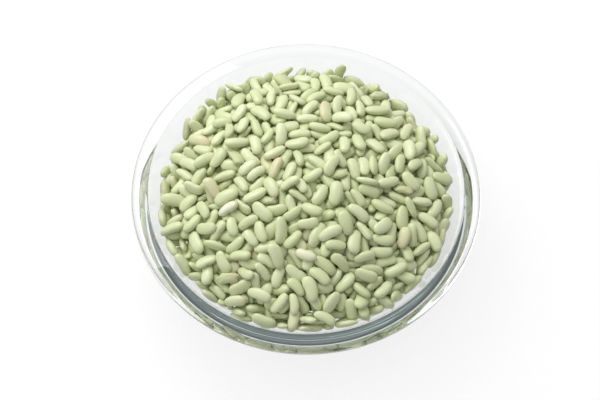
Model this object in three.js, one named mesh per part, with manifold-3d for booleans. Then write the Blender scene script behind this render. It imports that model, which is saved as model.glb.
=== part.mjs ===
// A clear glass bowl heaped with dried green beans. Millimetres, +Z up, origin at
// the middle of the foot, on the surface that the bowl stands on.

import * as THREE from 'three';
import { mergeVertices } from 'three/addons/utils/BufferGeometryUtils.js';
import Module from 'manifold-3d';

const wasm = await Module();
wasm.setup();

// Driving dimensions of the bowl
const BOWL_RADIUS = 100;
const BOWL_HEIGHT = 52;
const RIM_BEAD_RADIUS = 3.2;
const RIM_INNER_EDGE_RADIUS = 1.6;
const MOUTH_RADIUS = 89.3;
const WALL_SLOPE = THREE.MathUtils.degToRad(65);
const INNER_FILLET_RADIUS = 55;
const OUTER_HEEL_RADIUS = 58;
const WALL_AT_RIM = 8;
const FLOOR_THICKNESS = 5;
const FOOT_RECESS = 0.8;
const FOOT_RING_WIDTH = 6;
const FOOT_CHAMFER = 2;
const BOWL_SEGMENTS = 56;
const WALL_ARC_STEPS = 5;
const BEAD_ARC_STEPS = 6;
const INNER_EDGE_STEPS = 2;

// Driving dimensions of the beans
const BEAN_LENGTH = 13.3;
const BEAN_WIDTH = 6.8;
const BEAN_THICKNESS = 4.9;
const BEAN_SIZE_SPREAD = 0.16;
const BEAN_FACET_ALLOWANCE = 1.1;
const BEAN_BOW = 0.14;
const BEAN_BLUNTNESS = 0.74;
const BEAN_SIDES = 5;
const BEAN_BANDS = 4;
const BEAN_SPACING = 6.7;
const TOP_BEANS = 190;
const TOP_BEAN_LEAN = 0.25;
const TOP_BEAN_LIFT = 0.6;
const WALL_BEANS = 16;
const WALL_BEAN_LEAN = 0.1;
const GAP_TO_GLASS = 0.95;
const MOVES_CLEAR_OF_GLASS = 6;
const TRIES_PER_BEAN = 250;

// Driving dimensions of the heap
const HEAP_EDGE_BELOW_RIM = 7.5;
const HEAP_HIGHER_AT_BACK = 1.5;
const HEAP_DOME = 22;
const HEAP_UNEVENNESS = 0.8;
const CORE_SIDE_INSET = 4;
const CORE_BELOW_BEANS = 1.7;
const CORE_SEGMENTS = 28;
const CORE_ARC_STEPS = 4;
const CORE_DOME_STEPS = 5;

const QUARTER_TURN = Math.PI / 2;

// Places that follow from the dimensions above
const RIM_HEIGHT = BOWL_HEIGHT - RIM_BEAD_RADIUS;
const EDGE_HEIGHT = BOWL_HEIGHT - HEAP_EDGE_BELOW_RIM;
const fillet = tangentCircle(MOUTH_RADIUS, WALL_SLOPE, INNER_FILLET_RADIUS, FLOOR_THICKNESS);
const heel = tangentCircle(MOUTH_RADIUS + WALL_AT_RIM, WALL_SLOPE, OUTER_HEEL_RADIUS, 0);
const EDGE_RADIUS = glassRadiusAt(EDGE_HEIGHT) - GAP_TO_GLASS;

// Centre of the circle that joins a level floor to a straight wall of this slope
function tangentCircle(radiusAtRim, slope, radius, floorHeight) {
  const height = floorHeight + radius;
  const wallRadius = radiusAtRim - (RIM_HEIGHT - height) / Math.tan(slope);
  return new THREE.Vector2(wallRadius - radius / Math.sin(slope), height);
}

function arcPoints(centre, radius, from, to, steps) {
  const points = [];
  for (let step = 0; step <= steps; step += 1) {
    const angle = THREE.MathUtils.lerp(from, to, step / steps);
    const x = centre.x + radius * Math.cos(angle);
    const y = centre.y + radius * Math.sin(angle);
    points.push(new THREE.Vector2(x, y));
  }
  return points;
}

// Seeded random numbers from 0 to 1, the same in every run
function seededRandom(seed) {
  let state = seed;
  return () => {
    state = (state + 0x6d2b79f5) | 0;
    let mixed = Math.imul(state ^ (state >>> 15), 1 | state);
    mixed = (mixed + Math.imul(mixed ^ (mixed >>> 7), 61 | mixed)) ^ mixed;
    return ((mixed ^ (mixed >>> 14)) >>> 0) / 2 ** 32;
  };
}

// The lathe turns about Y, so its result is stood up along Z
function turned(points, segments) {
  return new THREE.LatheGeometry(points, segments).rotateX(QUARTER_TURN);
}

// Section of the bowl: foot, outside, rim bead, inside, floor
function bowlSection() {
  const footEdge = heel.x - FOOT_RING_WIDTH;
  const beadCentre = new THREE.Vector2(BOWL_RADIUS - RIM_BEAD_RADIUS, RIM_HEIGHT);
  const innerEdge = new THREE.Vector2(
    MOUTH_RADIUS + RIM_INNER_EDGE_RADIUS,
    BOWL_HEIGHT - RIM_INNER_EDGE_RADIUS,
  );
  const underBead = RIM_BEAD_RADIUS + 0.5;
  const wallTop = MOUTH_RADIUS + WALL_AT_RIM - underBead / Math.tan(WALL_SLOPE);
  return [
    new THREE.Vector2(0, FOOT_RECESS),
    new THREE.Vector2(footEdge - FOOT_CHAMFER, FOOT_RECESS),
    new THREE.Vector2(footEdge, 0),
    ...arcPoints(heel, OUTER_HEEL_RADIUS, -QUARTER_TURN, WALL_SLOPE - QUARTER_TURN, WALL_ARC_STEPS),
    new THREE.Vector2(wallTop, RIM_HEIGHT - underBead),
    ...arcPoints(beadCentre, RIM_BEAD_RADIUS, -QUARTER_TURN, QUARTER_TURN, BEAD_ARC_STEPS),
    ...arcPoints(innerEdge, RIM_INNER_EDGE_RADIUS, QUARTER_TURN, 2 * QUARTER_TURN, INNER_EDGE_STEPS),
    ...arcPoints(fillet, INNER_FILLET_RADIUS, WALL_SLOPE - QUARTER_TURN, -QUARTER_TURN, WALL_ARC_STEPS),
    new THREE.Vector2(0, FLOOR_THICKNESS),
  ];
}

// Height of the glass's inner face at this distance from the axis
function glassHeightAt(radius) {
  const tangentRadius = fillet.x + INNER_FILLET_RADIUS * Math.sin(WALL_SLOPE);
  if (radius <= fillet.x) {
    return FLOOR_THICKNESS;
  }
  if (radius <= tangentRadius) {
    return fillet.y - Math.sqrt(INNER_FILLET_RADIUS ** 2 - (radius - fillet.x) ** 2);
  }
  const tangentHeight = fillet.y - INNER_FILLET_RADIUS * Math.cos(WALL_SLOPE);
  return tangentHeight + (radius - tangentRadius) * Math.tan(WALL_SLOPE);
}

// Distance from the axis to the straight stretch of the inner face
function glassRadiusAt(height) {
  return MOUTH_RADIUS - (RIM_HEIGHT - height) / Math.tan(WALL_SLOPE);
}

// Slope of the inner face, from 0 on the floor to the slope of the wall
function glassSlopeAt(radius) {
  const share = (radius - fillet.x) / INNER_FILLET_RADIUS;
  return Math.min(Math.asin(THREE.MathUtils.clamp(share, 0, 1)), WALL_SLOPE);
}

// Distance of a point inside the bowl from the glass, negative inside the glass
function glassClearance(point) {
  const radius = Math.hypot(point.x, point.y);
  const offset = new THREE.Vector2(radius, point.z).sub(fillet);
  if (offset.x <= 0) {
    return point.z - FLOOR_THICKNESS;
  }
  const turn = Math.atan2(offset.x, -offset.y);
  if (turn > WALL_SLOPE || offset.y > 0) {
    const wallNormal = new THREE.Vector2(Math.sin(WALL_SLOPE), -Math.cos(WALL_SLOPE));
    return INNER_FILLET_RADIUS - offset.dot(wallNormal);
  }
  return INNER_FILLET_RADIUS - offset.length();
}

// Height at which the top beans lie, domed and a little uneven
function heapHeightAt(x, y) {
  const share = Math.hypot(x, y) / EDGE_RADIUS;
  const dome = HEAP_DOME * (1 - share ** 2);
  const waves = Math.sin(x / 17 + 1) + Math.sin(y / 13) + Math.sin((x - y) / 23);
  const tilt = HEAP_HIGHER_AT_BACK * y / EDGE_RADIUS;
  return EDGE_HEIGHT + dome + tilt + HEAP_UNEVENNESS * waves * (1 - share ** 4);
}

function heapNormalAt(x, y) {
  const step = 1;
  const acrossX = heapHeightAt(x - step, y) - heapHeightAt(x + step, y);
  const acrossY = heapHeightAt(x, y - step) - heapHeightAt(x, y + step);
  return new THREE.Vector3(acrossX, acrossY, 2 * step).normalize();
}

// The core fills the bowl inside the outermost layer of beans
function heapCore() {
  const sideRadius = INNER_FILLET_RADIUS - CORE_SIDE_INSET;
  const points = [
    new THREE.Vector2(0, FLOOR_THICKNESS + GAP_TO_GLASS),
    new THREE.Vector2(fillet.x * 0.9, FLOOR_THICKNESS + GAP_TO_GLASS),
    ...arcPoints(fillet, sideRadius, -QUARTER_TURN, WALL_SLOPE - QUARTER_TURN, CORE_ARC_STEPS),
  ];
  const coreRadius = EDGE_RADIUS - CORE_SIDE_INSET / Math.sin(WALL_SLOPE);
  for (let step = 0; step <= CORE_DOME_STEPS; step += 1) {
    const radius = coreRadius * (1 - step / CORE_DOME_STEPS);
    points.push(new THREE.Vector2(radius, heapHeightAt(radius, 0) - CORE_BELOW_BEANS));
  }
  const core = turned(points, CORE_SEGMENTS);
  const position = core.getAttribute('position');
  const sideTop = points[points.length - CORE_DOME_STEPS - 2].y;
  for (let i = 0; i < position.count; i += 1) {
    const radius = Math.hypot(position.getX(i), position.getY(i));
    if (position.getZ(i) > sideTop && radius <= coreRadius + 0.01) {
      position.setZ(i, heapHeightAt(position.getX(i), position.getY(i)) - CORE_BELOW_BEANS);
    }
  }
  return core;
}

// One kidney-shaped bean, its length along X and its flat sides up and down
function beanGeometry(scale) {
  const bean = new THREE.SphereGeometry(1, BEAN_SIDES, BEAN_BANDS).rotateZ(QUARTER_TURN);
  const position = bean.getAttribute('position');
  for (let i = 0; i < position.count; i += 1) {
    const along = position.getX(i);
    const girth = Math.hypot(position.getY(i), position.getZ(i));
    const fuller = girth > 0.01 ? BEAN_FACET_ALLOWANCE * girth ** (BEAN_BLUNTNESS - 1) : 0;
    const bow = BEAN_BOW * (0.5 - along ** 2);
    const x = along * BEAN_LENGTH / 2;
    const y = (position.getY(i) * fuller + bow) * BEAN_WIDTH / 2;
    const z = position.getZ(i) * fuller * BEAN_THICKNESS / 2;
    position.setXYZ(i, x, y, z);
  }
  return bean.scale(scale, scale, scale);
}

// Turns a bean flat onto a face with this normal, its length turned by yaw
function laidBean(scale, centre, normal, yaw) {
  const flat = new THREE.Quaternion().setFromUnitVectors(new THREE.Vector3(0, 0, 1), normal);
  const turn = new THREE.Quaternion().setFromAxisAngle(new THREE.Vector3(0, 0, 1), yaw);
  flat.multiply(turn);
  const bean = beanGeometry(scale).applyQuaternion(flat);
  const reach = (BEAN_LENGTH - BEAN_WIDTH) * scale / 2;
  bean.userData.marks = [-reach, 0, reach].map((along) => (
    new THREE.Vector3(along, 0, 0).applyQuaternion(flat).add(centre)
  ));
  return bean.translate(centre.x, centre.y, centre.z);
}

// True where a bean's two ends and middle keep their distance from all the others
function standsApart(bean, others) {
  return others.every((other) => (
    bean.userData.marks.every((mark) => (
      other.userData.marks.every((far) => mark.distanceTo(far) >= BEAN_SPACING)
    ))
  ));
}

// Scatters beans of these scales, the largest first, where each stands apart
function scattered(scales, layOne) {
  const beans = [];
  for (const scale of scales) {
    for (let attempt = 0; attempt < TRIES_PER_BEAN; attempt += 1) {
      const bean = clearOfGlass(layOne(scale));
      if (bean !== null && standsApart(bean, beans)) {
        beans.push(bean);
        break;
      }
    }
  }
  return beans;
}

// Leans a normal over by up to this share in a random direction
function leaned(normal, lean, random) {
  const sideways = new THREE.Vector3(random() - 0.5, random() - 0.5, random() - 0.5);
  return normal.clone().addScaledVector(sideways, 2 * lean).normalize();
}

// Moves a bean off the glass along the glass's normal, or gives null if it won't fit
function clearOfGlass(bean) {
  const position = bean.getAttribute('position');
  const point = new THREE.Vector3();
  for (let move = 0; move < MOVES_CLEAR_OF_GLASS; move += 1) {
    let least = Infinity;
    const worst = new THREE.Vector3();
    for (let i = 0; i < position.count; i += 1) {
      point.fromBufferAttribute(position, i);
      const clearance = glassClearance(point);
      if (clearance < least) {
        least = clearance;
        worst.copy(point);
      }
    }
    if (least >= GAP_TO_GLASS) {
      return bean;
    }
    const slope = glassSlopeAt(Math.hypot(worst.x, worst.y));
    const inward = new THREE.Vector3(worst.x, worst.y, 0).normalize().multiplyScalar(-Math.sin(slope));
    inward.z = Math.cos(slope);
    inward.multiplyScalar(GAP_TO_GLASS - least + 0.05);
    bean.translate(inward.x, inward.y, inward.z);
    bean.userData.marks.forEach((mark) => mark.add(inward));
  }
  return null;
}

// Sizes for a number of beans, the largest first
function beanScales(count, random) {
  const scales = [];
  for (let i = 0; i < count; i += 1) {
    scales.push(1 + BEAN_SIZE_SPREAD * (random() + random() - 1));
  }
  return scales.sort((a, b) => b - a);
}

// Beans lying every way on the dome
function topBeans(random) {
  return scattered(beanScales(TOP_BEANS, random), (scale) => {
    const radius = (EDGE_RADIUS - BEAN_WIDTH / 2) * Math.sqrt(random());
    const angle = 4 * QUARTER_TURN * random();
    const x = radius * Math.cos(angle);
    const y = radius * Math.sin(angle);
    const normal = heapNormalAt(x, y);
    const centre = new THREE.Vector3(x, y, heapHeightAt(x, y));
    centre.addScaledVector(normal, TOP_BEAN_LIFT * (random() - 0.5));
    const yaw = 4 * QUARTER_TURN * random();
    return laidBean(scale, centre, leaned(normal, TOP_BEAN_LEAN, random), yaw);
  });
}

// Beans lying flat against the glass, from the foot of the wall to the heap's edge
function wallBeans(random) {
  const lowest = fillet.x + BEAN_LENGTH / 2;
  const highest = glassRadiusAt(EDGE_HEIGHT - BEAN_WIDTH / 2);
  return scattered(beanScales(WALL_BEANS, random), (scale) => {
    const radius = Math.sqrt(THREE.MathUtils.lerp(lowest ** 2, highest ** 2, random()));
    const angle = 4 * QUARTER_TURN * random();
    const slope = glassSlopeAt(radius);
    const outward = new THREE.Vector3(Math.cos(angle), Math.sin(angle), 0);
    const normal = outward.clone().multiplyScalar(-Math.sin(slope));
    normal.z = Math.cos(slope);
    const centre = outward.multiplyScalar(radius);
    centre.z = glassHeightAt(radius);
    centre.addScaledVector(normal, BEAN_THICKNESS * scale / 2 + GAP_TO_GLASS);
    const yaw = 4 * QUARTER_TURN * random();
    return laidBean(scale, centre, leaned(normal, WALL_BEAN_LEAN, random), yaw);
  });
}

// A closed mesh as a solid: shared vertices merged and empty triangles left out
function toSolid(geometry) {
  const bare = geometry.clone();
  bare.deleteAttribute('normal');
  bare.deleteAttribute('uv');
  const merged = mergeVertices(bare);
  const index = merged.getIndex().array;
  const triangles = [];
  for (let i = 0; i < index.length; i += 3) {
    const [a, b, c] = index.slice(i, i + 3);
    if (a !== b && b !== c && c !== a) {
      triangles.push(a, b, c);
    }
  }
  return new wasm.Manifold(new wasm.Mesh({
    numProp: 3,
    vertProperties: new Float32Array(merged.getAttribute('position').array),
    triVerts: new Uint32Array(triangles),
  }));
}

function toGeometry(solid) {
  const mesh = solid.getMesh();
  const geometry = new THREE.BufferGeometry();
  geometry.setAttribute('position', new THREE.BufferAttribute(mesh.vertProperties, mesh.numProp));
  geometry.setIndex(new THREE.BufferAttribute(mesh.triVerts, 1));
  geometry.computeVertexNormals();
  return geometry;
}

// The largest closed shell: loose scraps go, and sealed hollows are filled
function largestShell(solid) {
  return solid.decompose().reduce((a, b) => (b.volume() > a.volume() ? b : a));
}

function bowlMesh() {
  const glass = new THREE.MeshStandardMaterial({ color: 0xe4efec, roughness: 0.03, metalness: 0 });
  const mesh = new THREE.Mesh(turned(bowlSection(), BOWL_SEGMENTS), glass);
  mesh.name = 'glass_bowl';
  return mesh;
}

function heapMesh() {
  const random = seededRandom(20);
  let heap = toSolid(heapCore());
  for (const bean of [...topBeans(random), ...wallBeans(random)]) {
    heap = heap.add(toSolid(bean));
  }
  const skin = new THREE.MeshStandardMaterial({ color: 0xc3cf9b, roughness: 0.5, metalness: 0 });
  const mesh = new THREE.Mesh(toGeometry(largestShell(heap)), skin);
  mesh.name = 'bean_heap';
  return mesh;
}

const bowlOfBeans = new THREE.Group();
bowlOfBeans.add(bowlMesh(), heapMesh());

export default bowlOfBeans;
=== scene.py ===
# %% [markdown]
# # A glass bowl heaped with dried green beans
#
# The real thing is a shallow pressed-glass bowl, 200 mm across, heaped with
# small dried beans. The CAD model gives the frame: its solids fix every size,
# and each piece made here stands for one of them. Lengths are written in
# millimetres, because beans and bowls are sold that way, and turned to
# Blender's metres when a mesh is finished.

# %% Load the frame
import math
import random

import bmesh
import bpy
import numpy as np
from mathutils import Matrix, Quaternion, Vector, noise


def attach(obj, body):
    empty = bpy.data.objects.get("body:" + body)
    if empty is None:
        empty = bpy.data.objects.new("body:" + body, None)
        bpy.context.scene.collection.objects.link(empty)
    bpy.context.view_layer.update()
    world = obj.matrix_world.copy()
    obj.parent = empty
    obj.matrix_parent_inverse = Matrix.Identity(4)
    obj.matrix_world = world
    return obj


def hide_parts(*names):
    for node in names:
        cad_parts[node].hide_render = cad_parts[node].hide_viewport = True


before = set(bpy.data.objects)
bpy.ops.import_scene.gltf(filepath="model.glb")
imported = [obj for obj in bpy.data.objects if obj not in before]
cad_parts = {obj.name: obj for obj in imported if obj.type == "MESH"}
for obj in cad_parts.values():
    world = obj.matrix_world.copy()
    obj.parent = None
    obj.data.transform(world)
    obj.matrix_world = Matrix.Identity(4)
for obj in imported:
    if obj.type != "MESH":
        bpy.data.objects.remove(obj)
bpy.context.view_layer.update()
scene = bpy.context.scene
MM = 0.001

# %% [markdown]
# ## The bowl's section
#
# A pressed-glass bowl is round, so one section says everything about it: a
# ring foot, a wall 8 mm thick that flares at 65 degrees, a large fillet from
# floor to wall, and a rounded bead that runs outside the rim. The thick wall
# and the large fillet matter most, because they bend the beans' image into
# the grey-green band that shows in the near side of such a bowl.

# %% Sizes of the bowl, in millimetres
BOWL_RADIUS = 100.0
BOWL_HEIGHT = 52.0
RIM_BEAD_RADIUS = 3.2
RIM_INNER_EDGE_RADIUS = 1.6
BEAD_TO_WALL = 0.5
MOUTH_RADIUS = 89.3
WALL_SLOPE = math.radians(65)
INNER_FILLET_RADIUS = 55.0
OUTER_HEEL_RADIUS = 58.0
WALL_AT_RIM = 8.0
FLOOR_THICKNESS = 5.0
FOOT_RECESS = 0.8
FOOT_RING_WIDTH = 6.0
FOOT_CHAMFER = 2.0
RIM_HEIGHT = BOWL_HEIGHT - RIM_BEAD_RADIUS


def tangent_circle(radius_at_rim, radius, floor_height):
    """Centre of the circle that joins a level floor to a straight wall."""
    height = floor_height + radius
    wall_radius = radius_at_rim - (RIM_HEIGHT - height) / math.tan(WALL_SLOPE)
    return wall_radius - radius / math.sin(WALL_SLOPE), height


FILLET = tangent_circle(MOUTH_RADIUS, INNER_FILLET_RADIUS, FLOOR_THICKNESS)
HEEL = tangent_circle(MOUTH_RADIUS + WALL_AT_RIM, OUTER_HEEL_RADIUS, 0)
print("fillet centre:", [round(v, 2) for v in FILLET], "heel centre:", [round(v, 2) for v in HEEL])


# %% Section of the glass
def arc(centre, radius, start, end, steps):
    """Points (radius, height) along an arc, angles in degrees."""
    angles = [math.radians(start + (end - start) * i / steps) for i in range(steps + 1)]
    return [(centre[0] + radius * math.cos(a), centre[1] + radius * math.sin(a)) for a in angles]


def glass_section():
    """The glass from the axis under the foot, up its outside, and down its inside to the axis."""
    slope = math.degrees(WALL_SLOPE)
    foot_edge = HEEL[0] - FOOT_RING_WIDTH
    under_bead = RIM_BEAD_RADIUS + BEAD_TO_WALL
    wall_top = MOUTH_RADIUS + WALL_AT_RIM - under_bead / math.tan(WALL_SLOPE)
    bead = (BOWL_RADIUS - RIM_BEAD_RADIUS, RIM_HEIGHT)
    inner_edge = (MOUTH_RADIUS + RIM_INNER_EDGE_RADIUS, BOWL_HEIGHT - RIM_INNER_EDGE_RADIUS)
    return [
        (0, FOOT_RECESS),
        (foot_edge - FOOT_CHAMFER, FOOT_RECESS),
        (foot_edge, 0),
        *arc(HEEL, OUTER_HEEL_RADIUS, -90, slope - 90, steps=24),
        (wall_top, RIM_HEIGHT - under_bead),
        *arc(bead, RIM_BEAD_RADIUS, -90, 90, steps=16),
        *arc(inner_edge, RIM_INNER_EDGE_RADIUS, 90, 180, steps=6),
        *arc(FILLET, INNER_FILLET_RADIUS, slope - 90, -90, steps=24),
        (0, FLOOR_THICKNESS),
    ]


print("points in the glass section:", len(glass_section()))

# %% Spin a section into a closed shell
SAME_POINT = 0.001


def spin_section(points, steps):
    """A bmesh of this section spun once round Z, in millimetres, normals outwards."""
    bm = bmesh.new()
    verts = [bm.verts.new((radius, 0, height)) for radius, height in points]
    edges = [bm.edges.new(pair) for pair in zip(verts, verts[1:])]
    bmesh.ops.spin(
        bm, geom=verts + edges, cent=(0, 0, 0), axis=(0, 0, 1), dvec=(0, 0, 0),
        angle=2 * math.pi, steps=steps, use_merge=True, use_duplicate=False,
    )
    bmesh.ops.remove_doubles(bm, verts=bm.verts, dist=SAME_POINT)
    bmesh.ops.recalc_face_normals(bm, faces=bm.faces)
    return bm


def finish_piece(bm, name, stands_for):
    """Turns a bmesh in millimetres into a piece of the object that rides on its body."""
    bmesh.ops.scale(bm, vec=(MM, MM, MM), verts=bm.verts)
    mesh = bpy.data.meshes.new(name)
    bm.to_mesh(mesh)
    bm.free()
    mesh.polygons.foreach_set("use_smooth", [True] * len(mesh.polygons))
    piece = bpy.data.objects.new(name, mesh)
    scene.collection.objects.link(piece)
    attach(piece, "root")
    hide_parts(stands_for)
    print(name, "has", sum(len(face.vertices) - 2 for face in mesh.polygons), "triangles")
    return piece


bowl_shell = spin_section(glass_section(), steps=192)
clear_bowl = finish_piece(bowl_shell, "clear_bowl", "glass_bowl")

# %% [markdown]
# ## One dried bean
#
# A dried flageolet bean is a plump little kidney: about 13.4 mm long, 6.8 mm
# wide and 4.3 mm thick, with blunt ends, a bowed back and a hollow on the inside
# of the bow where it hung in its pod. Its two faces are flatter than an
# ellipse, which is what makes a heap of beans look like beans and not like
# sweets. A sphere's poles make good bean ends, so each shape starts as a UV
# sphere laid on its side, and its rings are fattened, squared a little, bowed
# and pinched. Sculpting each bean would give more character than shows at this
# size, and with a thousand of them every face counts. No two beans are alike,
# so there are several shapes, some straighter, some thicker, some with one end
# fuller, and two that dried out and wrinkled.

# %% Bean shapes
BEAN_LENGTH = 13.4
BEAN_WIDTH = 6.8
BEAN_THICKNESS = 4.3
BEAN_BLUNTNESS = 0.76
BEAN_FLATNESS = 2.6
HOLLOW_DEPTH = 0.16
HOLLOW_REACH = 0.35
CREASES_PER_MM = 0.55
CREASE_SHIFT = 10
POLE_GIRTH = 0.01


def bean_shape(name, width, thickness, bow, lopsided, wrinkle):
    """A bean in millimetres, its length along X and the inside of its bow towards -Y."""
    bm = bmesh.new()
    on_its_side = Matrix.Rotation(math.radians(90), 4, "Y")
    own_creases = Vector((0, 0, CREASE_SHIFT * bow))
    bmesh.ops.create_uvsphere(bm, u_segments=12, v_segments=8, radius=1, matrix=on_its_side)
    for vert in bm.verts:
        along, across, up = vert.co
        girth = math.hypot(across, up)
        fuller = 0
        if girth > POLE_GIRTH:
            powers = (abs(across / girth) ** BEAN_FLATNESS, abs(up / girth) ** BEAN_FLATNESS)
            squarer = sum(powers) ** (-1 / BEAN_FLATNESS)
            fuller = girth ** (BEAN_BLUNTNESS - 1) * squarer * (1 + lopsided * along)
        hollow = HOLLOW_DEPTH * math.exp(-((along / HOLLOW_REACH) ** 2)) * max(0, -across)
        # The bow moves the middle one way and the ends the other way, by half of it each.
        across = across * fuller + bow * (0.5 - along ** 2) + hollow
        shape = Vector((along * BEAN_LENGTH, across * width, up * fuller * thickness)) / 2
        crease = noise.noise(shape * CREASES_PER_MM + own_creases)
        vert.co = shape * (1 + wrinkle * crease)
    mesh = bpy.data.meshes.new(name)
    bm.to_mesh(mesh)
    bm.free()
    return mesh


# After the name: width, thickness, bow, how much fuller one end is, and depth of the creases.
PLUMP_SHAPES = [
    bean_shape("bean_even", BEAN_WIDTH, BEAN_THICKNESS, 0.1, 0.0, 0.05),
    bean_shape("bean_slim", BEAN_WIDTH * 0.9, BEAN_THICKNESS, 0.16, 0.06, 0.05),
    bean_shape("bean_broad", BEAN_WIDTH * 1.08, BEAN_THICKNESS * 0.95, 0.06, -0.05, 0.05),
    bean_shape("bean_thick", BEAN_WIDTH * 0.96, BEAN_THICKNESS * 1.1, 0.1, 0.08, 0.05),
    bean_shape("bean_flat", BEAN_WIDTH, BEAN_THICKNESS * 0.88, 0.14, -0.1, 0.08),
]
WRINKLED_SHAPES = [
    bean_shape("bean_creased", BEAN_WIDTH, BEAN_THICKNESS, 0.1, 0.08, 0.4),
    bean_shape("bean_shrunk", BEAN_WIDTH * 0.9, BEAN_THICKNESS * 0.9, 0.34, -0.1, 0.45),
]
print("faces in one bean:", len(PLUMP_SHAPES[0].polygons))

# %% [markdown]
# ## Where the beans start
#
# Beans poured into a bowl end up lying every way, mostly on their flat sides,
# each resting on those below. Placing them by rule never looks like that, so
# the top of the heap is dropped and left to settle. To keep that short, the
# beans start almost in place: in thin layers just above a solid bed, the
# layers smaller towards the top, because a heap is a dome. Beans that lie
# against the glass can't move much, so they are laid flat on it, two deep,
# and stay there.

# %% The heap's form
HEAP_EDGE_HEIGHT = 44.5
HEAP_EDGE_RADIUS = 86.3
HEAP_DOME = 22.0
# The dome's slope grows by this with each millimetre from the axis.
DOME_FALL = 2 * HEAP_DOME / HEAP_EDGE_RADIUS ** 2
HIGHER_AT_BACK = 1.5
GAP_TO_GLASS = 0.6
BED_BELOW_TOP = 12.0
BED_INSIDE_GLASS = 13.0
draw = random.Random(11)


def dome_height(radius):
    """Height of an even dome at this distance from the axis, or at each of an array of them."""
    share = radius / HEAP_EDGE_RADIUS
    return HEAP_EDGE_HEIGHT + HEAP_DOME * (1 - share ** 2)


def heap_height(x, y):
    """Height of the heap's top, which is a dome and a little more towards the back."""
    return dome_height(math.hypot(x, y)) + HIGHER_AT_BACK * y / HEAP_EDGE_RADIUS


def glass_height(radius):
    """Height of the glass's inner face at this distance from the axis."""
    tangent = FILLET[0] + INNER_FILLET_RADIUS * math.sin(WALL_SLOPE)
    if radius <= FILLET[0]:
        return FLOOR_THICKNESS
    if radius <= tangent:
        return FILLET[1] - math.sqrt(INNER_FILLET_RADIUS ** 2 - (radius - FILLET[0]) ** 2)
    base = FILLET[1] - INNER_FILLET_RADIUS * math.cos(WALL_SLOPE)
    return base + (radius - tangent) * math.tan(WALL_SLOPE)


print("heap top:", round(heap_height(0, 0), 1), "mm, rim:", BOWL_HEIGHT, "mm")

# %% One bean in its place
WRINKLED_SHARE = 0.012
SIZE_SPREAD = 0.085
SMALLEST_SIZE = 0.8
LARGEST_SIZE = 1.17


class Bean:
    """One bean: its shape, its size, and its place in millimetres."""

    def __init__(self, centre, turn, size, wrinkled=False):
        self.shape = draw.choice(WRINKLED_SHAPES if wrinkled else PLUMP_SHAPES)
        self.size = size
        self.centre = centre
        self.turn = turn
        self.tone = draw.random()
        self.kind = "green_beans"

    def marks(self):
        """Three points that stand for the bean: near each end, and its middle."""
        reach = (BEAN_LENGTH - BEAN_WIDTH) * self.size / 2
        return [self.centre + self.turn @ Vector((k * reach, 0, 0)) for k in (-1, 0, 1)]

    def matrix(self):
        """Puts the bean's shape in its place."""
        turned = self.turn.to_matrix().to_4x4()
        return Matrix.Translation(self.centre) @ turned @ Matrix.Scale(self.size, 4)


def laid_flat(normal, lean):
    """A turn that lays a bean on this face, any way round, leaning by up to this share."""
    sideways = Vector([draw.uniform(-lean, lean) for _ in range(3)])
    flat = Vector((0, 0, 1)).rotation_difference((normal + sideways).normalized())
    return flat @ Quaternion((0, 0, 1), draw.uniform(0, 2 * math.pi))


def bean_size():
    """A bean's size as a share of the average."""
    return min(max(draw.gauss(1.0, SIZE_SPREAD), SMALLEST_SIZE), LARGEST_SIZE)


print("bean lengths:", [round(BEAN_LENGTH * size, 1) for size in (SMALLEST_SIZE, LARGEST_SIZE)], "mm")

# %% Lay beans without letting them meet
BEAN_SPACING = 6.1
# Marks are kept in cells a little wider than that, so only the cells around need a look.
SPACING_CELL = 8.0
STEPS = (-1, 0, 1)


def scatter(count, choose_place, lean, tries=80):
    """Up to this many beans, each kept clear of the others' ends and middle."""
    laid = []
    cells = {}

    def cell(mark):
        return tuple(int(c // SPACING_CELL) for c in mark)

    def clear(mark):
        x, y, z = cell(mark)
        near = ((x + a, y + b, z + c) for a in STEPS for b in STEPS for c in STEPS)
        others = (other for key in near for other in cells.get(key, ()))
        return all((mark - other).length >= BEAN_SPACING for other in others)

    for _ in range(count):
        size = bean_size()
        wrinkled = draw.random() < WRINKLED_SHARE
        for _ in range(tries):
            place = choose_place(size)
            if place is None:
                continue
            bean = Bean(place[0], laid_flat(place[1], lean), size, wrinkled)
            if all(clear(mark) for mark in bean.marks()):
                for mark in bean.marks():
                    cells.setdefault(cell(mark), []).append(mark)
                laid.append(bean)
                break
    return laid


print("beans keep", BEAN_SPACING, "mm between their marks")

# %% Beans against the glass
GLASS_BEANS_BELOW_TOP = 5.0
# Share of its thickness that a bean's middle keeps from what it lies on.
MIDDLE_OFF_GLASS = 0.55
# Each row: how many beans are tried, how deep they lie, and how much they lean.
GLASS_ROWS = ((330, 0.4, 0.12), (250, 5.6, 0.3))


def against_glass(depth):
    """Gives a function that picks a place for a bean, flat on the glass or this deep behind it."""
    def choose_place(size):
        radius = HEAP_EDGE_RADIUS * math.sqrt(draw.random())
        angle = draw.uniform(0, 2 * math.pi)
        bend = min(max((radius - FILLET[0]) / INNER_FILLET_RADIUS, 0), 1)
        slope = min(math.asin(bend), WALL_SLOPE)
        outward = Vector((math.cos(angle), math.sin(angle), 0))
        normal = Vector((0, 0, math.cos(slope))) - outward * math.sin(slope)
        centre = outward * radius + Vector((0, 0, glass_height(radius)))
        centre += normal * (BEAN_THICKNESS * size * MIDDLE_OFF_GLASS + GAP_TO_GLASS + depth)
        too_high = centre.z > heap_height(centre.x, centre.y) - GLASS_BEANS_BELOW_TOP
        return None if too_high else (centre, normal)

    return choose_place


glass_beans = []
for count, depth, lean in GLASS_ROWS:
    glass_beans += scatter(count, against_glass(depth), lean)
print("beans against the glass:", len(glass_beans))

# %% Beans over the bed
LAYER_RADII = (85, 85, 82, 78, 70, 45)
FIRST_LAYER_OVER_BED = 3.5
LAYER_STEP = 5.2
LAYER_LEAN = 0.25
BEANS_PER_AREA = 0.0086


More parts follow.
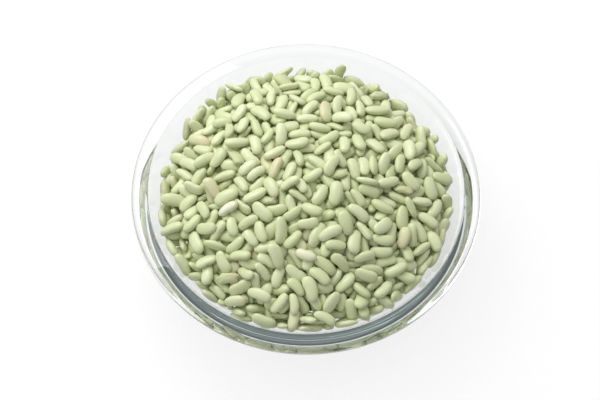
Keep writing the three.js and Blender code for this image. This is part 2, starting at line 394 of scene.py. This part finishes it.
def over_bed(layer):
    """Gives a function that picks a place for a bean in this layer over the bed."""
    def choose_place(size):
        radius = LAYER_RADII[layer] * math.sqrt(draw.random())
        angle = draw.uniform(0, 2 * math.pi)
        x = radius * math.cos(angle)
        y = radius * math.sin(angle)
        z = heap_height(x, y) - BED_BELOW_TOP + FIRST_LAYER_OVER_BED + LAYER_STEP * layer
        return Vector((x, y, z)), Vector((DOME_FALL * x, DOME_FALL * y, 1)).normalized()

    return choose_place


top_beans = []
for layer, layer_radius in enumerate(LAYER_RADII):
    count = int(BEANS_PER_AREA * math.pi * layer_radius ** 2)
    top_beans += scatter(count, over_bed(layer), LAYER_LEAN)
print("beans over the bed:", len(top_beans))

# %% [markdown]
# ## Let them settle
#
# Blender's rigid bodies could pour the beans, but their result changes a
# little from run to run, and a heap should come out the same every time. So
# the beans are settled here by a small solver of their own. Each bean is eight
# balls in two rows, which is flat like a bean and quick to test. Over and over,
# every bean moves a little towards the bed, and then wherever two balls
# overlap, both beans are pushed and turned apart, as a real contact would do.
# The move is square to the dome, not straight down: that stands in for the
# friction which keeps real beans from sliding to the rim. It shrinks to
# nothing, so the last rounds only ease out what still overlaps.

# %% Eight balls for a bean
# Four pairs of balls along a bean. Each pair: where it is along the length, how far its balls
# are from the middle line, and their radius, as shares of length, width and thickness.
BALL_PAIRS = ((-0.34, 0.14, 0.41), (-0.12, 0.18, 0.5), (0.12, 0.18, 0.5), (0.34, 0.14, 0.41))
BALLS = np.array(
    [(x * BEAN_LENGTH, side * y * BEAN_WIDTH, 0) for x, y, _ in BALL_PAIRS for side in (-1, 1)]
)
BALL_RADII = np.repeat([radius * BEAN_THICKNESS for _, _, radius in BALL_PAIRS], 2)
# How hard a bean is to turn about each of its axes: an ellipsoid's inertia for its mass.
HALVES = np.array([BEAN_LENGTH, BEAN_WIDTH, BEAN_THICKNESS]) / 2
RESISTANCE = (np.sum(HALVES ** 2) - HALVES ** 2) / 5
print("balls in a bean:", len(BALLS), "resistance to turning:", RESISTANCE.round(1))

# %% Find the balls that may touch
# A cell is wider than the largest ball, so balls that touch are in one cell or in neighbours.
CELL = 2.4 * BALL_RADII.max()
# The middle makes a cell's three numbers positive, and the side packs them into one.
GRID_SIDE = 256
GRID_MIDDLE = 64
# Only half of the neighbours are looked at, or each pair would be found twice.
AHEAD = [(a, b, c) for a in STEPS for b in STEPS for c in STEPS if (a, b, c) >= (0, 0, 0)]


def close_pairs(balls):
    """Index pairs of balls in the same cell of a grid or in neighbouring ones."""
    cells = np.floor(balls / CELL).astype(np.int64) + GRID_MIDDLE
    keys = (cells[:, 0] * GRID_SIDE + cells[:, 1]) * GRID_SIDE + cells[:, 2]
    order = np.argsort(keys, kind="stable")
    firsts, seconds = [], []
    for a, b, c in AHEAD:
        wanted = keys + (a * GRID_SIDE + b) * GRID_SIDE + c
        start = np.searchsorted(keys[order], wanted, "left")
        count = np.searchsorted(keys[order], wanted, "right") - start
        first = np.repeat(np.arange(len(keys)), count)
        shift = np.repeat(start - np.cumsum(count) + count, count)
        second = order[shift + np.arange(len(first))]
        once = first < second if (a, b, c) == (0, 0, 0) else slice(None)
        firsts.append(first[once])
        seconds.append(second[once])
    return np.concatenate(firsts), np.concatenate(seconds)


print("cells of the grid:", round(CELL, 2), "mm")

# %% Push overlapping beans apart
SOFTNESS = 1.3
LONGEST_MOVE = 1.0
LARGEST_TURN = 0.15
# Added to lengths and angles before dividing by them, in case one is nothing.
TINY_LENGTH = 1e-9
TINY_ANGLE = 1e-12


class Heap:
    """Places and turns of all beans as arrays; the first ones may move, the rest may not."""

    def __init__(self, moving, still):
        beans = moving + still
        self.movable = np.arange(len(beans)) < len(moving)
        self.centres = np.array([bean.centre[:] for bean in beans])
        self.turns = np.array([[row[:] for row in bean.turn.to_matrix()] for bean in beans])
        sizes = np.array([bean.size for bean in beans])
        self.offsets = sizes[:, None, None] * BALLS
        self.radii = (sizes[:, None] * BALL_RADII).ravel()
        self.owner = np.repeat(np.arange(len(beans)), len(BALLS))

    def balls(self):
        """Where the balls of all beans are now."""
        placed = np.einsum("nij,nbj->nbi", self.turns, self.offsets) + self.centres[:, None]
        return placed.reshape(-1, 3)

    def ease(self, own, arm, normal):
        """What a push at this arm does: how easily the bean gives, and how it turns."""
        twist = np.cross(arm, normal)
        turns = self.turns[own]
        turning = np.einsum("nji,nj->ni", turns, twist) / RESISTANCE
        turning = np.einsum("nij,nj->ni", turns, turning)
        give = (1 + np.sum(twist * turning, axis=1)) * self.movable[own]
        return give, turning

    def apply(self, contacts):
        """Moves and turns each bean by the mean of what its contacts ask for."""
        number = len(self.centres)
        own = np.concatenate([contact[0] for contact in contacts])
        moves = np.concatenate([contact[1] for contact in contacts])
        turnings = np.concatenate([contact[2] for contact in contacts])
        share = SOFTNESS * self.movable / np.maximum(np.bincount(own, minlength=number), 1)
        move, turn = (
            np.stack([np.bincount(own, wanted[:, axis], number) for axis in range(3)], axis=1)
            for wanted in (moves, turnings)
        )
        self.centres += np.clip(move * share[:, None], -LONGEST_MOVE, LONGEST_MOVE)
        self.turn_by(np.clip(turn * share[:, None], -LARGEST_TURN, LARGEST_TURN))

    def turn_by(self, turning):
        """Turns each bean about its own vector, by the vector's length in radians."""
        angle = np.linalg.norm(turning, axis=1)[:, None, None] + TINY_ANGLE
        x, y, z = (turning / angle[:, :, 0]).T
        zero = np.zeros_like(x)
        cross = np.stack([zero, -z, y, z, zero, -x, -y, x, zero], axis=1).reshape(-1, 3, 3)
        step = np.eye(3) + np.sin(angle) * cross + (1 - np.cos(angle)) * (cross @ cross)
        self.turns = step @ self.turns


print("balls to settle:", (len(top_beans) + len(glass_beans)) * len(BALLS))


# %% Contacts between beans
def bean_contacts(heap, balls, pairs):
    """Contacts of these pairs of balls: for each bean, the move and turn that parts them."""
    first, second = pairs
    apart = balls[first] - balls[second]
    distance = np.linalg.norm(apart, axis=1) + TINY_LENGTH
    depth = heap.radii[first] + heap.radii[second] - distance
    met = depth > 0
    first, second, depth = first[met], second[met], depth[met]
    normal = apart[met] / distance[met, None]
    contacts = []
    gives = []
    for ball, side in ((first, -1), (second, 1)):
        own = heap.owner[ball]
        arm = balls[ball] + side * normal * heap.radii[ball, None] - heap.centres[own]
        give, turning = heap.ease(own, arm, normal)
        gives.append(give)
        contacts.append([own, -side * normal, -side * turning])
    size = (depth / (gives[0] + gives[1]))[:, None]
    return [(own, size * move, size * turning) for own, move, turning in contacts]


print("beans that may move:", len(top_beans))


# %% Contacts with the bed and the glass
def wall_contacts(heap, balls, depth, normal):
    """Contacts with something fixed, from how far each ball is inside it."""
    met = (depth > 0) & heap.movable[heap.owner]
    own, normal = heap.owner[met], normal[met]
    arm = balls[met] - normal * heap.radii[met, None] - heap.centres[own]
    give, turning = heap.ease(own, arm, normal)
    size = (depth[met] / give)[:, None]
    return [(own, size * normal, size * turning)]


def dome_normals(places):
    """Directions square to the dome over these places."""
    level = np.ones(len(places))
    slopes = np.stack([DOME_FALL * places[:, 0], DOME_FALL * places[:, 1], level], axis=1)
    return slopes / np.linalg.norm(slopes, axis=1)[:, None]


def bed_contacts(heap, balls):
    """Contacts with the bed's top."""
    surface = dome_height(np.hypot(balls[:, 0], balls[:, 1])) - BED_BELOW_TOP
    normal = dome_normals(balls)
    return wall_contacts(heap, balls, heap.radii - (balls[:, 2] - surface) * normal[:, 2], normal)


def glass_contacts(heap, balls):
    """Contacts with the bowl's inside, by the direction from its fillet's centre."""
    radius = np.hypot(balls[:, 0], balls[:, 1]) + TINY_LENGTH
    bend = np.arctan2(radius - FILLET[0], FILLET[1] - balls[:, 2])
    bend = np.clip(bend, 0, WALL_SLOPE)
    inward = np.stack([-np.sin(bend), np.cos(bend)], axis=1)
    foot = np.stack([radius - FILLET[0], balls[:, 2] - FILLET[1]], axis=1)
    clearance = INNER_FILLET_RADIUS + np.sum(foot * inward, axis=1)
    across, along, up = inward[:, 0] * balls[:, 0], inward[:, 0] * balls[:, 1], inward[:, 1]
    normal = np.stack([across / radius, along / radius, up], axis=1)
    return wall_contacts(heap, balls, heap.radii + GAP_TO_GLASS - clearance, normal)


print("slope of the dome at its edge:", round(DOME_FALL * HEAP_EDGE_RADIUS, 2))

# %% Settle the beans
PRESS_ROUNDS = 110
EASE_ROUNDS = 90
FIRST_PRESS = 0.35
# Neighbours hardly change in one round, so they are looked up every second time.
PAIRS_EVERY = 2
PROUD_LIMIT = 0.5
LOWEST_CENTRE = 10.0


def settle(falling, resting):
    """Settles the falling beans on the resting ones and gives each its new place and turn."""
    heap = Heap(falling, resting)
    for this_round in range(PRESS_ROUNDS + EASE_ROUNDS):
        left = max(0, 1 - this_round / PRESS_ROUNDS)
        heap.centres -= dome_normals(heap.centres) * (FIRST_PRESS * left * heap.movable)[:, None]
        balls = heap.balls()
        if this_round % PAIRS_EVERY == 0:
            first, second = close_pairs(balls)
            owners = heap.owner[first], heap.owner[second]
            useful = (owners[0] != owners[1]) & (heap.movable[owners[0]] | heap.movable[owners[1]])
            pairs = first[useful], second[useful]
        contacts = bean_contacts(heap, balls, pairs)
        contacts += bed_contacts(heap, balls) + glass_contacts(heap, balls)
        heap.apply(contacts)
    for bean, centre, turn in zip(falling, heap.centres, heap.turns):
        bean.centre = Vector(centre)
        bean.turn = Matrix(turn).to_quaternion()


def stays(bean):
    """True for a bean in the bowl that doesn't stand proud of the dome."""
    x, y, z = bean.centre
    highest = heap_height(x, y) + PROUD_LIMIT
    return math.hypot(x, y) < HEAP_EDGE_RADIUS and LOWEST_CENTRE < z < highest


settle(top_beans, glass_beans)
in_bowl = [bean for bean in top_beans if stays(bean)]
print("beans that stay in the bowl:", len(in_bowl), "of", len(top_beans))

# %% [markdown]
# ## Sort them by kind
#
# Most beans are pale green. A few never filled out their colour and are nearly
# white, a few have a tan or pinkish cast, and the dried-out ones are wrinkled.
# The odd ones in plain sight are chosen by place: for each spot on the heap,
# in millimetres from its middle, the bean on top there. The rest fall by lot.
# Each kind becomes one joined mesh, because a thousand loose objects are slow to
# handle. Every vertex keeps two facts for the skin's pattern: where it is on
# its own bean, and that bean's tone, so that no two look the same.

# %% Choose the odd beans
ODD_BEANS = {
    "white_beans": [(7, -51), (-44, -23)],
    "tan_beans": [(-22, 9), (-20, 3), (54, -32), (-61, 28), (11, 41)],
    "wrinkled_beans": [(61, -6), (-44, -62), (52, 66)],
}
TAN_SHARE = 0.008


def top_bean(x, y):
    """The bean that lies nearest this spot and highest."""
    spot = Vector((x, y))
    return max(in_bowl, key=lambda bean: bean.centre.z - (bean.centre.xy - spot).length)


all_beans = in_bowl + glass_beans
for bean in all_beans:
    lot = draw.random()
    if bean.shape in WRINKLED_SHAPES:
        bean.kind = "wrinkled_beans"
    elif lot < TAN_SHARE:
        bean.kind = "tan_beans"
for kind, spots in ODD_BEANS.items():
    for number, spot in enumerate(spots):
        odd_one = top_bean(*spot)
        odd_one.kind = kind
        odd_one.tone = number / len(spots)
        odd_one.shape = draw.choice(WRINKLED_SHAPES if kind == "wrinkled_beans" else PLUMP_SHAPES)
kinds = {
    kind: [bean for bean in all_beans if bean.kind == kind] for kind in ("green_beans", *ODD_BEANS)
}
print({kind: len(beans) for kind, beans in kinds.items()})


# %% Join the beans of a kind
def join_beans(name, beans):
    """One piece of all these beans, each vertex with its bean's tone and its place on it."""
    bm = bmesh.new()
    tone = bm.verts.layers.float.new("tone")
    on_bean = bm.verts.layers.float_vector.new("on_bean")
    for bean in beans:
        before = len(bm.verts)
        bm.from_mesh(bean.shape)
        bm.verts.ensure_lookup_table()
        place = bean.matrix()
        for vert in bm.verts[before:]:
            vert[tone] = bean.tone
            vert[on_bean] = vert.co
            vert.co = place @ vert.co
    return finish_piece(bm, name, "bean_heap")


bean_pieces = {name: join_beans(name, beans) for name, beans in kinds.items()}

# %% [markdown]
# ## The bed under them
#
# Beans that nobody can see would only cost time. A plain solid fills the
# middle of the heap instead, two or three beans deep under its top and its
# sides, and its dark olive is painted shade, the colour of the shade between beans.

# %% The bed
DOME_STEPS = 10


def bed_section():
    """The bowl's inside and the heap's top, both moved in by the bed's depth."""
    slope = math.degrees(WALL_SLOPE)
    side = arc(FILLET, INNER_FILLET_RADIUS - BED_INSIDE_GLASS, -90, slope - 90, steps=12)
    edge = HEAP_EDGE_RADIUS - BED_INSIDE_GLASS / math.sin(WALL_SLOPE)
    radii = [edge * (1 - step / DOME_STEPS) for step in range(DOME_STEPS + 1)]
    top = [(radius, heap_height(radius, 0) - BED_BELOW_TOP) for radius in radii]
    return [(0, FLOOR_THICKNESS + BED_INSIDE_GLASS), *side, *top]


bed_shell = spin_section(bed_section(), steps=48)
heap_bed = finish_piece(bed_shell, "heap_bed", "bean_heap")

# %% [markdown]
# ## Bean skin
#
# A dried bean's coat is smooth and a little waxy: it shows a soft highlight
# and no mirror image. Its colour comes in layers. Each bean has its own tone;
# over that lie cloudy patches a few millimetres wide, a blush on one end of
# some beans, a tiny dark speck here and there, and the small scar on the
# hollow side where the bean hung in its pod. Painting them would need an
# unwrapped bean and a picture. Noise that reads each bean's own millimetres
# gives all of it with none, and the bean's tone shifts the noise, so that the
# pattern never repeats. The wrinkled ones get folds along their length.


# %% Colour and node helpers
def from_hex(code):
    """An sRGB hex colour as Blender's linear red, green, blue, alpha."""
    channels = [int(code[i:i + 2], 16) / 255 for i in (1, 3, 5)]
    linear = [c / 12.92 if c <= 0.04045 else ((c + 0.055) / 1.055) ** 2.4 for c in channels]
    return (*linear, 1.0)


def new_material(name):
    material = bpy.data.materials.new(name)
    material.use_nodes = True
    return material, material.node_tree.nodes["Principled BSDF"]


def add_node(owner, kind, settings=None, links=None):
    """Adds a node, sets its values, and links its inputs from (node, output) pairs."""
    node = owner.node_tree.nodes.new(kind)
    for key, value in (settings or {}).items():
        if isinstance(key, int) or key in node.inputs:
            node.inputs[key].default_value = value
        else:
            setattr(node, key, value)
    for key, (source, output) in (links or {}).items():
        owner.node_tree.links.new(source.outputs[output], node.inputs[key])
    return node


def mix_in(material, share, under, colour):
    """Lays a hex colour over another node's colour, by a share from 0 to 1."""
    colour_input = {"data_type": "RGBA", 7: from_hex(colour)}
    return add_node(material, "ShaderNodeMix", colour_input, {0: (share, 0), 6: under})


print("linear value of the middle green:", [round(c, 3) for c in from_hex("#D6DEB0")])

# %% Dried bean skin
PATCH_SIZE = 2.8
PATCH_FROM = 0.52
PATCH_FULL = 0.78
BLUSH_FROM = -1.0
BLUSH_FULL = 0.45 * BEAN_LENGTH
SPECKS_APART = 6.0
SPECK_SIZE = 0.3
SPECK_COLOUR = "#8C8756"
SCAR_PLACE = (0, -BEAN_WIDTH * 0.42, 0)
SCAR_SIZE = 0.8
SCAR_CORE = 0.6
SCAR_COLOUR = "#D6CFA8"
RIPPLE_SIZE = 0.6
FOLD_SIZE = 1.3
FOLD_STRETCH = (0.25, 1, 1)
TONE_TO_NOISE = 300


def bean_skin(name, tones, patch, blush, blushing=0.08, roughness=0.25, ripple=0.02, fold=0.0):
    """Dry seed coat, smooth and faintly waxy. Ripple and fold are depths in millimetres."""
    material, shader = new_material(name)
    own = add_node(material, "ShaderNodeAttribute", {"attribute_name": "on_bean"})
    tone = add_node(material, "ShaderNodeAttribute", {"attribute_name": "tone"})
    shift = add_node(
        material, "ShaderNodeMath", {"operation": "MULTIPLY", 1: TONE_TO_NOISE}, {0: (tone, "Fac")}
    )
    ramp = add_node(material, "ShaderNodeValToRGB", None, {"Fac": (tone, "Fac")})
    ramp.color_ramp.elements[0].color = from_hex(tones[0])
    ramp.color_ramp.elements[1].color = from_hex(tones[2])
    ramp.color_ramp.elements.new(0.5).color = from_hex(tones[1])

    cloudy = add_node(
        material, "ShaderNodeTexNoise",
        {"noise_dimensions": "4D", "Scale": 1 / PATCH_SIZE, "Detail": 3.0},
        {"Vector": (own, "Vector"), "W": (shift, 0)},
    )
    patches = add_node(
        material, "ShaderNodeMapRange", {"From Min": PATCH_FROM, "From Max": PATCH_FULL},
        {"Value": (cloudy, 0)},
    )
    skin = mix_in(material, patches, (ramp, 0), patch)

    along = add_node(material, "ShaderNodeSeparateXYZ", None, {0: (own, "Vector")})
    one_end = add_node(
        material, "ShaderNodeMapRange",
        {"interpolation_type": "SMOOTHSTEP", "From Min": BLUSH_FROM, "From Max": BLUSH_FULL},
        {"Value": (along, "X")},
    )
    chance = add_node(material, "ShaderNodeMath", {"operation": "FRACT"}, {0: (shift, 0)})
    some = add_node(
        material, "ShaderNodeMath", {"operation": "LESS_THAN", 1: blushing}, {0: (chance, 0)}
    )
    blushed = add_node(
        material, "ShaderNodeMath", {"operation": "MULTIPLY"}, {0: (one_end, 0), 1: (some, 0)}
    )
    skin = mix_in(material, blushed, (skin, 2), blush)

    apart = add_node(
        material, "ShaderNodeVectorMath", {"operation": "ADD"}, {0: (own, "Vector"), 1: (shift, 0)}
    )
    cells = add_node(
        material, "ShaderNodeTexVoronoi", {"Scale": 1 / SPECKS_APART}, {"Vector": (apart, 0)}
    )
    speck = add_node(
        material, "ShaderNodeMapRange",
        {"From Min": SPECK_SIZE / SPECKS_APART, "From Max": SPECK_SIZE / SPECKS_APART / 2},
        {"Value": (cells, "Distance")},
    )
    skin = mix_in(material, speck, (skin, 2), SPECK_COLOUR)

    from_scar = add_node(
        material, "ShaderNodeVectorMath", {"operation": "DISTANCE", 1: SCAR_PLACE},
        {0: (own, "Vector")},
    )
    scar = add_node(
        material, "ShaderNodeMapRange", {"From Min": SCAR_SIZE, "From Max": SCAR_SIZE * SCAR_CORE},
        {"Value": (from_scar, "Value")},
    )
    skin = mix_in(material, scar, (skin, 2), SCAR_COLOUR)
    material.node_tree.links.new(skin.outputs[2], shader.inputs["Base Color"])

    fine = add_node(
        material, "ShaderNodeTexNoise",
        {"noise_dimensions": "4D", "Scale": 1 / RIPPLE_SIZE, "Detail": 2.0},
        {"Vector": (own, "Vector"), "W": (shift, 0)},
    )
    relief = add_node(
        material, "ShaderNodeBump", {"Strength": 1.0, "Distance": ripple * MM},
        {"Height": (fine, 0)},
    )
    if fold:
        lengthwise = add_node(
            material, "ShaderNodeVectorMath", {"operation": "MULTIPLY", 1: FOLD_STRETCH},
            {0: (own, "Vector")},
        )
        folds = add_node(
            material, "ShaderNodeTexNoise",
            {"noise_dimensions": "4D", "Scale": 1 / FOLD_SIZE, "Detail": 1.0},
            {"Vector": (lengthwise, 0), "W": (shift, 0)},
        )
        relief = add_node(
            material, "ShaderNodeBump", {"Strength": 1.0, "Distance": fold * MM},
            {"Height": (folds, 0), "Normal": (relief, 0)},
        )
    material.node_tree.links.new(relief.outputs[0], shader.inputs["Normal"])
    shader.inputs["Roughness"].default_value = roughness
    shader.inputs["IOR"].default_value = 1.47
    return material


# Dried green bean skin, pale and slightly yellow: most of the heap's colour.
green_skin = bean_skin("green_bean_skin", ("#CED7A6", "#D6DEB0", "#DDE4BA"), "#D4D8A9", "#DCDBB4")
# Unripe white bean skin, chalky: the few that shine out of the heap.
white_skin = bean_skin("white_bean_skin", ("#E3E5C2", "#ECEED4", "#ECEED4"), "#E4E5C6", "#E3E1C0")
# Aged tan bean skin, a warm cast with a pinkish end: a quiet break in the green.
tan_skin = bean_skin("tan_bean_skin", ("#D3D6A6", "#D7D8AC", "#DADBB1"), "#D7D0A2", "#D6CBA4", 0.5)
# Shrivelled bean skin, duller and folded: it catches the light unevenly.
wrinkled_skin = bean_skin(
    "wrinkled_bean_skin", ("#C8D09E", "#CFD6A7", "#D6DBB0"), "#C4C695", "#CFC8A2",
    roughness=0.45, ripple=0.04, fold=0.35,
)
bean_pieces["green_beans"].data.materials.append(green_skin)
bean_pieces["white_beans"].data.materials.append(white_skin)
bean_pieces["tan_beans"].data.materials.append(tan_skin)
bean_pieces["wrinkled_beans"].data.materials.append(wrinkled_skin)

# Painted shade between beans, plain dull olive: it closes the gaps without drawing the eye.
bed_painted_shade, bed_shader = new_material("deep_bean_shade")
bed_shader.inputs["Base Color"].default_value = from_hex("#5E693A")
bed_shader.inputs["Roughness"].default_value = 0.8
heap_bed.data.materials.append(bed_painted_shade)
print("skins:", [piece.data.materials[0].name for piece in bean_pieces.values()])

# %% [markdown]
# ## Pressed clear glass
#
# Soda glass is clear across a thin wall and grey-green along a thick one,
# because a little iron in it swallows red light. So the colour belongs inside
# the glass, not on it: an absorption for each metre of glass that light
# crosses. Where light is trapped in the wall it travels far and picks up stray
# light from every side, and that is why a thick edge looks grey-green and not
# black. Following all of that light would take very long, so a very faint glow
# inside the glass stands in for it. It is so weak that it adds nothing to see
# across the wall, and only shows where the path is long.

# %% Glass
LOST_PER_METRE = (10.0, 8.7, 8.9)
STRAY_PER_METRE = (1.50, 1.82, 1.76)
glass, glass_shader = new_material("pressed_soda_glass")
glass_shader.inputs["Transmission Weight"].default_value = 1
glass_shader.inputs["Roughness"].default_value = 0
glass_shader.inputs["IOR"].default_value = 1.5
glass_shader.inputs["Base Color"].default_value = (0.99, 0.99, 0.99, 1)
# Blender wants one density and a colour that is kept. The density only has to be above the
# largest loss, and the colour then brings each channel down to its own.
density = 1.25 * max(LOST_PER_METRE)
kept = [1 - lost / density for lost in LOST_PER_METRE]
tint = add_node(glass, "ShaderNodeVolumeAbsorption", {"Color": (*kept, 1), "Density": density})
brightest = max(STRAY_PER_METRE)
stray_colour = [stray / brightest for stray in STRAY_PER_METRE]
stray = add_node(glass, "ShaderNodeEmission", {"Color": (*stray_colour, 1), "Strength": brightest})
inside = add_node(glass, "ShaderNodeAddShader", None, {0: (tint, 0), 1: (stray, 0)})
glass_output = glass.node_tree.nodes["Material Output"]
glass.node_tree.links.new(inside.outputs[0], glass_output.inputs["Volume"])
clear_bowl.data.materials.append(glass)
green_left = math.exp(-LOST_PER_METRE[1] * WALL_AT_RIM * MM)
print("share of green light left after the wall:", round(green_left, 3))

# %% [markdown]
# ## Floor
#
# Glass is shot on a lit ground, because glass shows whatever lies behind it.
# Here that is a sheet of opal acrylic with light coming up through it: plain,
# pale, and nearly free of shadow. A lamp aimed at white paper would give the
# same white, but with a hard shadow beside the bowl.

# %% Lit acrylic floor
FLOOR_SIZE = 6
FLOOR_GREY = 0.2
FLOOR_GLOW = 0.8
bpy.ops.mesh.primitive_plane_add(size=FLOOR_SIZE)
floor = bpy.context.object
floor.name = "floor"
floor_sheet, floor_shader = new_material("lit_opal_acrylic")
floor_shader.inputs["Base Color"].default_value = (FLOOR_GREY, FLOOR_GREY, FLOOR_GREY, 1)
floor_shader.inputs["Roughness"].default_value = 0.9
floor_shader.inputs["Emission Color"].default_value = (1, 1, 1, 1)
floor_shader.inputs["Emission Strength"].default_value = FLOOR_GLOW
floor.data.materials.append(floor_sheet)
print("floor:", tuple(floor.dimensions), "metres")

# %% [markdown]
# ## Light
#
# Beans show their form best in wide, soft light from above, as under a white
# ceiling. So most of it comes from the sky: bright overhead, greyer towards
# the horizon, and stronger at the back left, which shades the near right side
# of the heap. The grey horizon also draws the bowl, since the rim bends it
# into thin lines. One softbox close above the back left adds the gloss.

# %% Sky
# Height in the sky from 0 at the horizon to 1 overhead, and how bright it is there.
HORIZON_TO_TOP = ((0.1, 0.43), (0.3, 0.6), (0.7, 0.88))
STRONGER_LEFT = 0.6
STRONGER_BACK = 0.75
STOPS_AT_START = 2
sky = bpy.data.worlds.new("studio_sky")
sky.use_nodes = True
scene.world = sky
where = add_node(sky, "ShaderNodeTexCoord")
parts = add_node(sky, "ShaderNodeSeparateXYZ", None, {0: (where, "Generated")})
fade = add_node(sky, "ShaderNodeValToRGB", None, {"Fac": (parts, "Z")})
stops = fade.color_ramp.elements
for number, (height, level) in enumerate(HORIZON_TO_TOP):
    stop = stops[number] if number < STOPS_AT_START else stops.new(height)
    stop.position = height
    stop.color = (level, level, level, 1)
leftwards = add_node(
    sky, "ShaderNodeMath", {"operation": "MULTIPLY_ADD", 1: -STRONGER_LEFT, 2: 1.0},
    {0: (parts, "X")},
)
strength = add_node(
    sky, "ShaderNodeMath", {"operation": "MULTIPLY_ADD", 1: STRONGER_BACK},
    {0: (parts, "Y"), 2: (leftwards, 0)},
)
background = sky.node_tree.nodes["Background"]
sky.node_tree.links.new(fade.outputs[0], background.inputs["Color"])
sky.node_tree.links.new(strength.outputs[0], background.inputs["Strength"])
print("sky stops:", [(round(stop.position, 2), round(stop.color[0], 2)) for stop in stops])

# %% Softbox, in metres and watts
SOFTBOX_SIZE = 0.3
SOFTBOX_POWER = 1.2
SOFTBOX_PLACE = (-0.2, 0.3, 0.5)
SOFTBOX_TARGET = (0, 0, 0.03)
softbox_lamp = bpy.data.lights.new("softbox", "AREA")
softbox_lamp.size = SOFTBOX_SIZE
softbox_lamp.energy = SOFTBOX_POWER
softbox = bpy.data.objects.new("softbox", softbox_lamp)
softbox.location = SOFTBOX_PLACE
softbox.visible_camera = False
aim = Vector(SOFTBOX_TARGET) - softbox.location
softbox.rotation_euler = aim.to_track_quat("-Z", "Y").to_euler()
scene.collection.objects.link(softbox)
print("softbox distance:", round(aim.length, 2), "metres")

# %% [markdown]
# ## Camera
#
# The camera stands in front of the bowl, about 57 cm from the middle of its
# rim, and looks down at 63 degrees, as someone at a table does. From there the
# rim is an ellipse seven eighths as high as it is wide, and the heap's dome
# still shows. Two small moves, aside and down, put the bowl just off the middle
# of the frame. Light on its way here meets glass and beans many times, so it
# may bounce more often than Blender lets it by default.

# %% Camera, in metres
CAMERA_DISTANCE = 0.57427
CAMERA_ELEVATION = math.radians(62.61)
CAMERA_ASIDE = -0.00337
CAMERA_LOWER = 0.00721
CAMERA_ROLL = math.radians(-0.443)
LENS_MM = 60
SENSOR_MM = 36
LIGHT_BOUNCES = 24
camera_data = bpy.data.cameras.new("camera")
camera_data.lens = LENS_MM
camera_data.sensor_width = SENSOR_MM
camera = bpy.data.objects.new("camera", camera_data)
scene.collection.objects.link(camera)
forward = Vector((0, math.cos(CAMERA_ELEVATION), -math.sin(CAMERA_ELEVATION)))
upward = Vector((0, math.sin(CAMERA_ELEVATION), math.cos(CAMERA_ELEVATION)))
camera.location = Vector((0, 0, RIM_HEIGHT * MM)) - forward * CAMERA_DISTANCE
camera.location += Vector((CAMERA_ASIDE, 0, 0)) - upward * CAMERA_LOWER
camera.rotation_mode = "QUATERNION"
camera.rotation_quaternion = Quaternion(forward, CAMERA_ROLL) @ forward.to_track_quat("-Z", "Y")
scene.camera = camera
scene.view_settings.view_transform = "Standard"
scene.cycles.max_bounces = LIGHT_BOUNCES
scene.cycles.transmission_bounces = LIGHT_BOUNCES
print("camera at", [round(c, 3) for c in camera.location])
